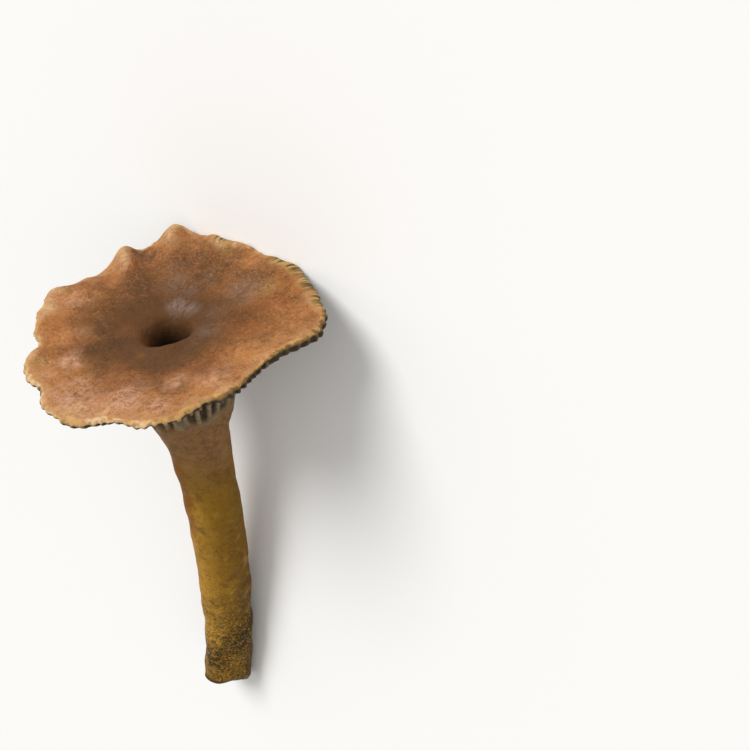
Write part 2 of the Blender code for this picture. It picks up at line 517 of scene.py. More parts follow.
@dataclass(frozen=True)
class Relief:
    """Fine unevenness of the skin.

    Sizes, heights and the cap's radii are in millimetres. Where the skin turns smooth, lumpy, like the
    stem's or torn is in shares of the underside or of the foot.
    """

    lump_size: float = 5.5
    lump_height: float = 0.22
    pimple_size: float = 1.3
    pimple_height: float = 0.035
    groove_size: float = 1.5
    groove_length: float = 9.0
    groove_height: float = 0.055
    swelling_size: float = 7.0
    swelling_height: float = 0.055
    torn_size: float = 1.1
    torn_height: float = 0.22
    torn_face: Pair = (0.1, 0.7)
    pleat_height: float = 0.1
    pleated: Pair = (11.0, 20.0)
    lip_degrees: float = 285.0
    lip_radius: float = 4.3
    lip_width: float = 1.4
    lip_height: float = 0.4
    smooth_from: Pair = (0.0, 0.2)
    lumpy_from: Pair = (0.8, 1.0)
    stem_skin_from: Pair = (0.85, 1.0)

    def on_skin(self, places: Array) -> Array:
        """Returns the height of the skin's lumps and pimples at points in millimetres."""
        broad = self.lump_height * lumps(places, self.lump_size, Lumps.SKIN)
        return broad + self.pimple_height * lumps(places, self.pimple_size, Lumps.PIMPLES)

    def on_stem(self, places: Array) -> Array:
        """Returns the height of the stem's lengthwise grooves and swellings at points in millimetres."""
        long = places * np.array((1.0, 1.0, self.groove_size / self.groove_length))
        grooves = self.groove_height * lumps(long, self.groove_size, Lumps.STEM_GROOVES)
        return grooves + self.swelling_height * lumps(places, self.swelling_size, Lumps.STEM_SWELLINGS)

    def pleats(self, grid: Grid) -> Array:
        """Returns the height of the pleats over the ridges, in millimetres."""
        return self.pleat_height * (np.cos(2.0 * math.pi * grid.column) * ease(*self.pleated, grid.radius))

    def lip(self, grid: Grid) -> Array:
        """Returns the height of the lip at the front of the hollow, in millimetres."""
        facing = np.maximum(np.cos(np.radians(grid.degrees - self.lip_degrees)), 0.0)
        return self.lip_height * np.exp(-(((grid.radius - self.lip_radius) / self.lip_width) ** 2)) * facing

    def lift(self, grid: Grid, places: Array) -> Array:
        """Finds how far the skin's unevenness lifts it.

        Args:
            grid: the points.
            places: their upright places before the lift, in millimetres.

        Returns:
            Lifts along the outward normal, in millimetres.
        """
        lift = self.on_skin(places)
        if grid.stretch in (Stretch.DISH, Stretch.EDGE):
            lift += self.pleats(grid)
            lift += self.lip(grid)
        if grid.stretch is Stretch.UNDERSIDE:
            lift *= 1.0 - ease(*self.smooth_from, grid.share) * (1.0 - ease(*self.lumpy_from, grid.share))
            lift += self.on_stem(places) * ease(*self.stem_skin_from, grid.share)
        if grid.stretch is Stretch.STEM:
            lift += self.on_stem(places)
        if grid.stretch is Stretch.FOOT:
            torn = self.torn_height * lumps(places, self.torn_size, Lumps.TORN_END)
            lift += self.on_stem(places) * (1.0 - grid.share)
            lift += torn * ease(*self.torn_face, grid.share)
        return lift


def add_node(
    tree: Tree,
    kind: str,
    inputs: dict[str | int, object] | None = None,
    read: str | int = 0,
    **settings: object,
) -> Socket:
    """Adds a node with its settings and links.

    Args:
        tree: the tree that the node goes in.
        kind: the node's type, as it follows the word ShaderNode.
        inputs: for each input, a value or the socket of another node that it is linked from.
        read: the output that is asked for.
        settings: the node's own settings by name.

    Returns:
        The socket of that output.
    """
    node = tree.nodes.new("ShaderNode" + kind)
    for name, value in settings.items():
        setattr(node, name, value)
    for name, value in (inputs or {}).items():
        if isinstance(value, Socket):
            tree.links.new(value, node.inputs[name])
        else:
            node.inputs[name].default_value = value
    return node.outputs[read]


# Sockets of a colour mix
MIX_SHARE = 0
MIX_UNDER = 6
MIX_OVER = 7
MIX_RESULT = 2


class Drawn(Enum):
    """What a random pattern shows of its noise."""

    LUMPS = "lumps"
    LINES = "lines"


@dataclass(frozen=True)
class Pattern:
    """A random pattern on the flesh.

    Its size is the distance between lumps in millimetres. The pattern starts where the noise is at low
    and is full at high; for lines both are distances from the noise's middle height.
    """

    size: float
    low: float
    high: float
    seed: float = 0.0
    drawn: Drawn = Drawn.LUMPS
    coordinate: str = "upright"
    stretch: Triple = (1.0, 1.0, 1.0)
    detail: float = 3.0
    bend: float = 0.0

    def mask(self, tree: Tree) -> Socket:
        """Draws the pattern.

        Args:
            tree: the material's tree.

        Returns:
            The socket of its strength, 0 to 1.
        """
        place = add_node(tree, "Attribute", read="Vector", attribute_name=self.coordinate)
        squeeze = tuple(share / self.size for share in self.stretch)
        shift = (self.seed,) * 3
        moved = add_node(tree, "VectorMath", {0: place, 1: squeeze, 2: shift}, operation="MULTIPLY_ADD")
        grain = {"Vector": moved, "Scale": 1.0, "Detail": self.detail, "Distortion": self.bend}
        height = add_node(tree, "TexNoise", grain, "Fac")
        if self.drawn is Drawn.LINES:
            height = add_node(tree, "Math", {0: height, 1: 0.5}, operation="SUBTRACT")
            height = add_node(tree, "Math", {0: height}, operation="ABSOLUTE")
        limits = {"Value": height, "From Min": self.low, "From Max": self.high}
        return add_node(tree, "MapRange", limits, interpolation_type="SMOOTHSTEP")


@dataclass(frozen=True)
class Reach:
    """Where a layer lies along one of the values that the mesh carries, eased from start to full.

    A ragged one wanders by that much of the value, in lumps of a size in millimetres.
    """

    value: str
    start: float
    full: float
    ragged: float = 0.0
    size: float = 2.0

    def mask(self, tree: Tree) -> Socket:
        """Draws the reach.

        Args:
            tree: the material's tree.

        Returns:
            The socket of its strength, 0 to 1.
        """
        value = add_node(tree, "Attribute", read="Fac", attribute_name=self.value)
        if self.ragged:
            wander = Pattern(self.size, low=0.25, high=0.75, seed=5.0).mask(tree)
            wander = add_node(tree, "Math", {0: wander, 1: 0.5}, operation="SUBTRACT")
            value = add_node(tree, "Math", {0: wander, 1: self.ragged, 2: value}, operation="MULTIPLY_ADD")
        limits = {"Value": value, "From Min": self.start, "From Max": self.full}
        return add_node(tree, "MapRange", limits, interpolation_type="SMOOTHSTEP")


# A colour, its strength and the masks that it is laid through
Layer = tuple[str | float | Pattern | Reach, ...]


@dataclass(frozen=True)
class Finish:
    """A finish of the flesh: a ground colour, and layers over it that are as strong as their masks allow."""

    ground: str
    layers: tuple[Layer, ...]

    def colour(self, tree: Tree) -> Socket:
        """Lays the colours over each other.

        Args:
            tree: the material's tree.

        Returns:
            The socket of the colour.
        """
        shade: object = linear(self.ground)
        for colour, strength, *masks in self.layers:
            for mask in masks:
                strength = add_node(tree, "Math", {0: mask.mask(tree), 1: strength}, operation="MULTIPLY")
            inputs = {MIX_SHARE: strength, MIX_UNDER: shade, MIX_OVER: linear(colour)}
            shade = add_node(tree, "Mix", inputs, MIX_RESULT, data_type="RGBA")
        return shade


# Felted cap skin of a dry, freshly picked cap. Matted fibres, moist by nature and dull on top, give the eye
# a mottled brown that turns rusty and pinkish outwards, with flecks where fibres stand up, and a cream line
# where the bare flesh shows at the margin. Light and shade are painted in as well: painted shade down the
# hollow, in the valleys of the folds and on the rounded notched rim, and painted highlights and sheen on the
# crests of the folds, along the left margin and in pale spots across the cap. Real fibres are about 0.02 mm
# thick and wouldn't show, so they are drawn as coarse as they need to show: specks 0.34 mm apart and matted
# strands 0.5 to 1.5 mm apart.
CAP_SKIN = Finish(
    ground="#5e3e23",
    layers=(
        ("#89552c", 0.95, Reach("along", -13.5, -7.5, ragged=7.0, size=5.0)),
        ("#ae7341", 0.9, Reach("along", -8.0, -2.0, ragged=7.0, size=4.0)),
        ("#4e3522", 0.4, Pattern(3.0, 0.48, 0.74, seed=1.0, detail=6.0, bend=1.2)),
        (
            "#a87d58", 0.4, Pattern(2.4, 0.5, 0.76, seed=2.0, detail=6.0, bend=1.2),
            Reach("along", -14.0, -6.0),
        ),
        (
            "#6f4824", 0.85, Reach("umber", 0.05, 0.85),
            Pattern(2.6, 0.1, 0.55, seed=41.0, detail=5.0, bend=1.0),
        ),
        # Darker patches of skin, and painted shade in the valleys of the folds and left of the hollow
        ("#4d3523", 0.75, Reach("dusk", 0.05, 0.95), Pattern(1.6, 0.2, 0.6, seed=3.0, detail=5.0, bend=1.0)),
        (
            "#94552a", 0.65, Reach("rust", 0.05, 0.95),
            Pattern(1.6, 0.25, 0.62, seed=4.0, detail=5.0, bend=1.0),
        ),
        # Ochre yellow patches, and painted highlights on the lit crests of the folds
        ("#a8834a", 0.7, Reach("ochre", 0.05, 0.95), Pattern(1.3, 0.25, 0.6, seed=6.0, detail=5.0, bend=1.0)),
        ("#b37945", 0.8, Reach("tan", 0.05, 0.95), Pattern(1.8, 0.2, 0.62, seed=38.0, detail=5.0, bend=1.0)),
        (
            "#d2a488", 0.78, Reach("pink", 0.05, 0.95),
            Pattern(1.1, 0.24, 0.76, seed=7.0, detail=6.0, bend=0.7),
        ),
        # Pale cream patches at the margin, and painted highlights on the lit crests and the left lobe
        ("#d3aa7c", 0.85, Reach("cream", 0.1, 0.9), Pattern(1.0, 0.15, 0.6, seed=44.0, detail=5.0, bend=0.7)),
        # Pale greyish patches: a bloom on the skin and a painted sheen, brightest just behind the hollow
        (
            "#9b8c84", 0.55, Reach("bloom", 0.05, 0.95),
            Pattern(
                1.2, 0.15, 0.75, seed=8.5, coordinate="grain", stretch=(0.7, 0.7, 0.6), detail=4.0, bend=0.8
            ),
        ),
        ("#5f3f27", 0.32, Pattern(1.1, 0.46, 0.68, seed=9.0, detail=4.0, bend=2.0)),
        (
            "#bd8f6a", 0.22, Pattern(1.0, 0.5, 0.7, seed=32.0, detail=4.0, bend=2.0),
            Reach("along", -15.0, -7.0),
        ),
        (
            "#6d4325", 0.3,
            Pattern(0.5, 0.48, 0.7, seed=33.0, coordinate="grain", stretch=(1.0, 1.0, 0.2), bend=0.8),
            Reach("along", -8.0, -3.0), Reach("side", 0.1, 0.8),
        ),
        (
            "#3a2415", 0.5, Pattern(1.5, 0.02, 0.003, seed=10.0, drawn=Drawn.LINES, bend=1.0),
            Pattern(3.4, 0.42, 0.58, seed=11.0),
        ),
        (
            "#452b1a", 0.4, Pattern(0.8, 0.026, 0.004, seed=34.0, drawn=Drawn.LINES, bend=1.4),
            Pattern(2.6, 0.44, 0.6, seed=35.0),
        ),
        ("#3f2919", 0.3, Pattern(0.34, 0.54, 0.7, seed=12.0, detail=2.0)),
        ("#cfa583", 0.2, Pattern(0.34, 0.56, 0.7, seed=13.0, detail=2.0), Reach("along", -10.0, -5.0)),
        ("#bd8f62", 0.45, Reach("along", -2.4, -1.0, ragged=2.0, size=2.6)),
        ("#c69c60", 0.75, Reach("along", -0.9, -0.4, ragged=0.9, size=1.1)),
        # Painted highlight: the cream line turns paler on the left margin, which faces the light
        (
            "#e3bd92", 0.85, Reach("along", -0.95, -0.6, ragged=0.5, size=1.3),
            Pattern(2.6, 0.44, 0.6, seed=39.0), Reach("side", 0.2, -0.1),
        ),
        ("#75602f", 0.6, Reach("along", -0.9, -0.4), Pattern(0.9, 0.46, 0.64, seed=36.0)),
        # Painted shade on the rounded rim where the margin is notched
        ("#6b522b", 0.85, Reach("notch", 0.15, 0.75), Reach("along", -0.8, -0.3, ragged=0.9, size=0.9)),
        ("#bd9c5c", 0.65, Reach("fray", 0.2, 0.8), Reach("along", -3.2, -1.4, ragged=0.8, size=1.0)),
        (
            "#2f2a1b", 0.85,
            Pattern(0.5, 0.44, 0.56, seed=37.0, coordinate="grain", stretch=(1.0, 1.0, 0.08)),
            Reach("fray", 0.2, 0.8), Reach("along", -2.4, -1.5, ragged=0.8, size=1.0),
        ),
        # Painted shade: the hollow darkens as it goes down, to near black deep inside
        ("#33241a", 0.9, Reach("sunk", 0.7, 4.5)),
        ("#1c140f", 0.9, Reach("sunk", 3.0, 9.0)),
    ),
)

# Bare flesh of the ridges. It is dull and waxy, with a greyish yellow bloom on the crests. Painted shade
# darkens the furrows, so the eye reads dark lines between pale ones, and the ridges just under the margin.
# Its spore dust of about 0.01 mm is drawn as specks 0.5 mm apart, coarser than life.
RIDGE_FLESH = Finish(
    ground="#80705a",
    layers=(
        ("#82684b", 0.7, Reach("along", 11.0, 19.0)),
        ("#57483a", 0.45, Pattern(1.6, 0.48, 0.7, seed=14.0)),
        ("#a08f66", 0.5, Reach("furrow", 0.25, 0.0), Pattern(1.1, 0.42, 0.68, seed=15.0)),
        # Painted shade in the furrows between the ridges, a little lighter towards the stem
        ("#2d2118", 0.95, Reach("furrow", 0.1, 0.6)),
        ("#4d4032", 0.6, Reach("furrow", 0.1, 0.6), Reach("along", 14.0, 20.0)),
        ("#6a5c48", 0.5, Reach("along", 18.0, 20.5), Pattern(1.2, 0.3, 0.65, seed=45.0)),
        # Painted shade on the ridges just under the margin
        ("#2a2219", 0.65, Reach("along", 2.2, 0.4), Reach("furrow", 0.0, 0.35)),
        (
            # Painted shade under the notched margin
            "#3a2f22", 0.9, Reach("notch", 0.1, 0.6), Reach("along", 2.6, 1.0),
            Pattern(1.4, 0.2, 0.5, seed=40.0),
        ),
        ("#43311f", 0.3, Pattern(0.5, 0.55, 0.7, seed=16.0, detail=2.0)),
    ),
)

# Skin of the stem, smooth and faintly fibrous. It gives the eye brown that turns ochre and olive downwards,
# and specks of soil and moss that stuck to the damp foot. Light is painted in too: painted light on the left
# side, which faces the light, and painted shade on the right side. Grains of soil, 0.1 mm in life, are drawn
# coarser, at 0.36 to 0.8 mm apart, so that they show.
STEM_SKIN = Finish(
    ground="#84601a",
    layers=(
        ("#87613c", 0.95, Reach("height", 45.0, 57.5, ragged=5.0, size=4.0)),
        # Painted light: the left side of the stem, which faces the light, turns lighter and golden
        (
            "#bd8d34", 0.75, Reach("side", 0.3, -0.9), Reach("height", 50.0, 40.0),
            Pattern(2.2, 0.15, 0.6, seed=31.0, detail=4.0),
        ),
        # Painted shade: the right side of the stem is darker
        ("#644614", 0.6, Reach("side", 0.3, 1.0), Reach("height", 50.0, 34.0)),
        ("#3f2d11", 0.6, Reach("side", 0.5, 0.9), Reach("height", 28.0, 19.0, ragged=5.0, size=2.5)),
        ("#7a4718", 0.7, Reach("side", -0.4, -0.8), Reach("height", 32.0, 39.0), Reach("height", 56.0, 50.0)),
        (
            "#b0843a", 0.4, Pattern(2.0, 0.5, 0.74, seed=17.0, detail=5.0, bend=0.4),
            Reach("height", 50.0, 38.0),
        ),
        (
            "#99714a", 0.35, Pattern(1.6, 0.48, 0.72, seed=43.0, detail=4.0, bend=0.4),
            Reach("height", 44.0, 54.0),
        ),
        ("#4f3612", 0.45, Pattern(2.8, 0.5, 0.72, seed=18.0, detail=6.0, bend=0.8)),
        ("#5c4330", 0.35, Reach("height", 45.0, 55.0), Pattern(1.2, 0.46, 0.7, seed=19.0, detail=4.0)),
        # Ochre mottles lower down, with painted light: they are kept to the lit left and front
        (
            "#be8f42", 0.7, Reach("height", 32.0, 14.0), Reach("side", 0.9, -0.5),
            Pattern(0.7, 0.46, 0.64, seed=20.0, detail=5.0),
        ),
        ("#523b17", 0.45, Reach("height", 15.0, 5.0, ragged=6.0, size=3.0), Reach("side", 1.2, -0.4)),
        (
            "#281d0e", 0.85, Reach("height", 11.5, 8.5, ragged=3.5, size=1.6),
            Reach("height", 3.5, 6.0, ragged=3.0, size=1.6),
            Pattern(0.8, 0.36, 0.56, seed=21.0, detail=6.0), Reach("side", 0.5, -0.4),
        ),
        (
            "#281d0e", 0.9, Reach("height", 16.5, 13.0, ragged=3.5, size=1.6),
            Reach("height", 7.5, 10.0, ragged=3.0, size=1.6),
            Pattern(0.8, 0.3, 0.52, seed=21.5, detail=6.0), Reach("side", -0.4, 0.5),
        ),
        ("#1f190e", 0.8, Reach("height", 32.0, 9.0), Pattern(0.4, 0.5, 0.62, seed=22.0, detail=3.0)),
        ("#c99b48", 0.5, Reach("height", 30.0, 12.0), Pattern(0.36, 0.54, 0.66, seed=42.0, detail=3.0)),
        ("#41421c", 0.6, Reach("height", 26.0, 10.0), Pattern(1.2, 0.52, 0.68, seed=23.0, detail=5.0)),
        ("#9c862a", 0.5, Reach("height", 18.0, 10.0), Pattern(2.0, 0.58, 0.7, seed=24.0, detail=4.0)),
        ("#4d3414", 0.4, Pattern(0.45, 0.5, 0.68, seed=25.0, detail=4.0, bend=1.5)),
        (
            "#4a3213", 0.45, Pattern(2.2, 0.02, 0.004, seed=26.0, drawn=Drawn.LINES, bend=0.6),
            Pattern(4.5, 0.46, 0.62, seed=27.0),
        ),
    ),
)


@dataclass(frozen=True)
class Flesh:
    """The flesh of the whole mushroom: its three finishes run into each other without a seam."""

    cap: Finish = CAP_SKIN
    ridges: Finish = RIDGE_FLESH
    stem: Finish = STEM_SKIN
    ridges_from: Reach = Reach("under", 0.0, 0.35, ragged=0.4, size=0.8)
    stem_from: Reach = Reach("along", 20.0, 22.4, ragged=2.0, size=2.0)
    relief: tuple[tuple[Pattern, float], ...] = (
        (Pattern(1.1, 0.3, 0.7, seed=28.0, detail=3.0), 0.045),
        (Pattern(0.45, 0.35, 0.65, seed=29.0, detail=2.0), 0.018),
        (Pattern(1.5, 0.03, 0.0, seed=10.0, drawn=Drawn.LINES, bend=0.8), 0.015),
    )
    dull: float = 0.66
    moist: float = 0.48
    moist_patches: Pattern = Pattern(1.6, 0.4, 0.7, seed=30.0)
    shine: float = 0.12
    refraction: float = 1.4

    def material(self) -> bpy.types.Material:
        """Makes the material.

        Returns:
            The material, ready to be put on the mesh.
        """
        material = bpy.data.materials.new("mushroom_flesh")
        material.use_nodes = True
        tree = material.node_tree
        shader = tree.nodes["Principled BSDF"]
        shader.inputs["IOR"].default_value = self.refraction
        shader.inputs["Specular IOR Level"].default_value = self.shine
        shade = self.cap.colour(tree)
        for reach, finish in ((self.ridges_from, self.ridges), (self.stem_from, self.stem)):
            inputs = {MIX_SHARE: reach.mask(tree), MIX_UNDER: shade, MIX_OVER: finish.colour(tree)}
            shade = add_node(tree, "Mix", inputs, MIX_RESULT, data_type="RGBA")
        tree.links.new(shade, shader.inputs["Base Color"])
        limits = {"Value": self.moist_patches.mask(tree), "To Min": self.dull, "To Max": self.moist}
        tree.links.new(add_node(tree, "MapRange", limits), shader.inputs["Roughness"])
        bump = {"Strength": 1.0}
        for pattern, height in self.relief:
            bump.update({"Height": pattern.mask(tree), "Distance": height * MM})
            bump["Normal"] = add_node(tree, "Bump", bump)
        tree.links.new(bump["Normal"], shader.inputs["Normal"])
        return material


class Tint(Enum):
    """What a patch on the cap does to its skin."""

    PINK = "pink"
    RUST = "rust"
    # Ochre skin, and painted highlights
    OCHRE = "ochre"
    # Darker skin, and painted shade
    DUSK = "dusk"
    # Pale bloom on the skin, and painted sheen
    BLOOM = "bloom"
    NOTCH = "notch"
    FRAY = "fray"
    TAN = "tan"
    UMBER = "umber"
    # Cream of the margin, and painted highlights
    CREAM = "cream"


@dataclass(frozen=True)
class Patch:
    """A soft patch on the cap: its tint, its place in degrees and millimetres out, its width and strength."""

    tint: Tint
    degrees: float
    radius: float
    size: float
    strength: float = 1.0

    def on(self, radius: Array, degrees: Array) -> Array:
        """Finds how strong the patch is.

        Args:
            radius: distances from the middle, in millimetres.
            degrees: angles round the cap.

        Returns:
            Strengths, 0 to 1.
        """
        between = np.radians(degrees - self.degrees)
        apart = radius**2 + self.radius**2 - 2.0 * radius * self.radius * np.cos(between)
        return self.strength * np.exp(-apart / self.size**2)


# Where each tint shows: degrees, millimetres out, width and, where it is below 1, strength
SPOTS = {
    Tint.PINK: (
        (240, 18.2, 2.6), (232, 15.8, 3.3, 0.9), (240, 17.5, 4.0, 0.8), (258, 15.8, 3.0), (275, 17.1, 2.0),
        (284, 12.6, 2.2, 0.7), (303, 15.5, 3.0, 0.6), (152, 15.0, 2.6, 0.6), (212, 17.3, 1.6, 0.6),
        (117, 19.4, 1.2, 0.9), (120, 17.0, 2.0, 0.5), (208, 13.8, 1.8), (226, 19.0, 1.6, 0.8),
        (212, 13.4, 1.2, 0.8),
    ),
    # Pale bloom spots that also carry a painted sheen; those just behind the hollow are painted sheen
    Tint.BLOOM: (
        (30, 12.2, 3.0, 0.6), (80, 5.3, 1.8), (52, 5.3, 1.5, 0.9), (70, 8.4, 2.2, 0.4),
        (88, 9.6, 3.4, 0.45), (345, 5.8, 2.2, 0.45), (20, 6.6, 2.2, 0.4), (20, 11.0, 2.2, 0.45),
        (60, 11.2, 2.2, 0.4), (90, 12.4, 2.2, 0.35), (180, 12.2, 2.0, 0.45), (262, 12.2, 2.2, 0.35),
        (320, 6.0, 1.3, 0.35), (200, 12.6, 1.4, 0.4),
    ),
    Tint.RUST: (
        (175, 16.0, 2.0), (229, 19.0, 1.6, 0.8), (16, 17.0, 2.8, 0.8), (318, 12.0, 3.2, 0.8),
        (345, 11.0, 2.8, 0.8), (6, 14.5, 3.2, 0.8), (296, 15.0, 1.8, 0.6), (220, 14.0, 1.2, 0.7),
        (181, 17.0, 1.5, 0.6), (300, 15.4, 1.6, 0.5), (281, 14.0, 1.4, 0.6), (20, 17.2, 2.2, 0.5),
    ),
    # Ochre patches; those on the crests of the folds at 95 and 118 degrees are painted highlights
    Tint.OCHRE: (
        (95, 21.0, 2.0), (118, 18.8, 1.5), (20, 14.6, 2.0, 0.7), (335, 17.0, 2.4, 0.5), (63, 18.3, 1.7),
        (203, 18.0, 1.2),
    ),
    Tint.TAN: (
        (325, 15.0, 4.0), (12, 19.0, 3.0, 0.5), (222, 16.0, 4.5, 0.9), (150, 15.0, 3.0, 0.7),
        (300, 16.5, 3.0, 0.8), (242, 18.0, 3.0, 0.9), (352, 15.5, 4.5, 0.35), (90, 17.4, 1.8),
        (335, 12.0, 3.5, 0.45), (185, 15.5, 2.6, 0.8), (258, 18.8, 1.8, 0.8), (330, 19.0, 2.4, 0.9),
        (180, 12.4, 2.0, 0.5),
    ),
    Tint.UMBER: (
        (30, 14.6, 3.0, 0.9), (326, 11.0, 3.0), (342, 11.0, 2.6, 0.7), (152, 11.8, 3.4, 0.9),
        (172, 12.0, 3.0, 0.7), (210, 9.6, 3.6, 0.9), (122, 12.5, 3.6, 0.8), (92, 11.5, 4.0, 0.9),
        (62, 13.5, 4.0, 0.9), (62, 18.0, 2.2, 0.9), (334, 9.6, 2.4, 0.6), (200, 5.5, 2.6, 0.9),
        (90, 8.0, 2.4, 0.6), (35, 17.0, 2.6, 0.6), (0, 11.0, 3.0, 0.8), (16, 8.6, 2.6, 0.8),
        (20, 16.2, 2.4, 0.6), (38, 14.0, 2.6, 0.7), (140, 12.0, 2.8, 0.9), (200, 9.8, 2.4, 0.9),
        (284, 14.6, 2.0, 0.6), (336, 12.4, 3.0, 0.7), (22, 15.0, 3.2, 0.7), (6, 17.0, 2.4, 0.5),
    ),
    # Darker patches of skin, and painted shade in the valleys of the folds and left of the hollow
    Tint.DUSK: (
        (90, 8.4, 2.0, 0.5), (207, 5.4, 2.0, 0.7), (109, 18.6, 1.5), (106, 16.4, 1.7),
        (78, 15.8, 4.4, 0.68), (55, 15.6, 3.0, 0.6), (122, 11.6, 3.6, 0.7), (203, 7.4, 3.4, 0.95),
        (155, 9.6, 3.0, 0.5), (0, 8.0, 2.4, 0.5), (138, 10.4, 2.4, 0.5), (103, 8.2, 1.8, 0.5),
        (202, 10.2, 2.2, 0.9), (321, 11.0, 2.4, 0.6), (2, 9.0, 2.2, 0.5), (36, 15.5, 2.2, 0.4),
        (66, 12.2, 3.6, 0.85), (54, 17.2, 2.0, 0.7),
    ),
    # Cream patches at the margin; those on the crests of the folds and on the left lobe are painted
    # highlights
    Tint.CREAM: (
        (144, 19.4, 1.1, 0.6), (150, 18.9, 1.6, 0.8), (157, 19.0, 1.7, 0.9), (163, 18.6, 2.0, 0.9),
        (170, 19.3, 1.2, 0.8), (198, 19.2, 1.4, 0.9), (204, 16.8, 1.3, 0.5), (117, 19.2, 1.2, 0.95),
        (117.5, 17.7, 1.2, 0.9), (119, 16.4, 1.2, 0.5), (93, 19.4, 1.3, 0.95), (94, 18.1, 1.3, 0.85),
        (69, 18.4, 1.5, 0.8), (60, 19.3, 1.1, 0.7), (252, 18.3, 1.1, 0.7), (246, 19.1, 1.0, 0.5),
        (302, 19.2, 1.3, 0.6), (324, 18.0, 1.5, 0.5), (92, 17.0, 1.6, 0.5), (240, 18.0, 1.3, 0.6),
        (302, 17.8, 1.2, 0.4),
    ),
    Tint.NOTCH: (
        (318, 20.5, 9.0), (350, 20.5, 5.0, 0.8), (220, 20.5, 1.6),
    ),
    Tint.FRAY: (
        (3, 21.0, 2.6), (14, 21.0, 3.2), (30, 20.5, 4.0), (70, 19.4, 1.3), (220, 20.5, 1.4),
    ),
}
PATCHES = tuple(Patch(tint, *spot) for tint, spots in SPOTS.items() for spot in spots)


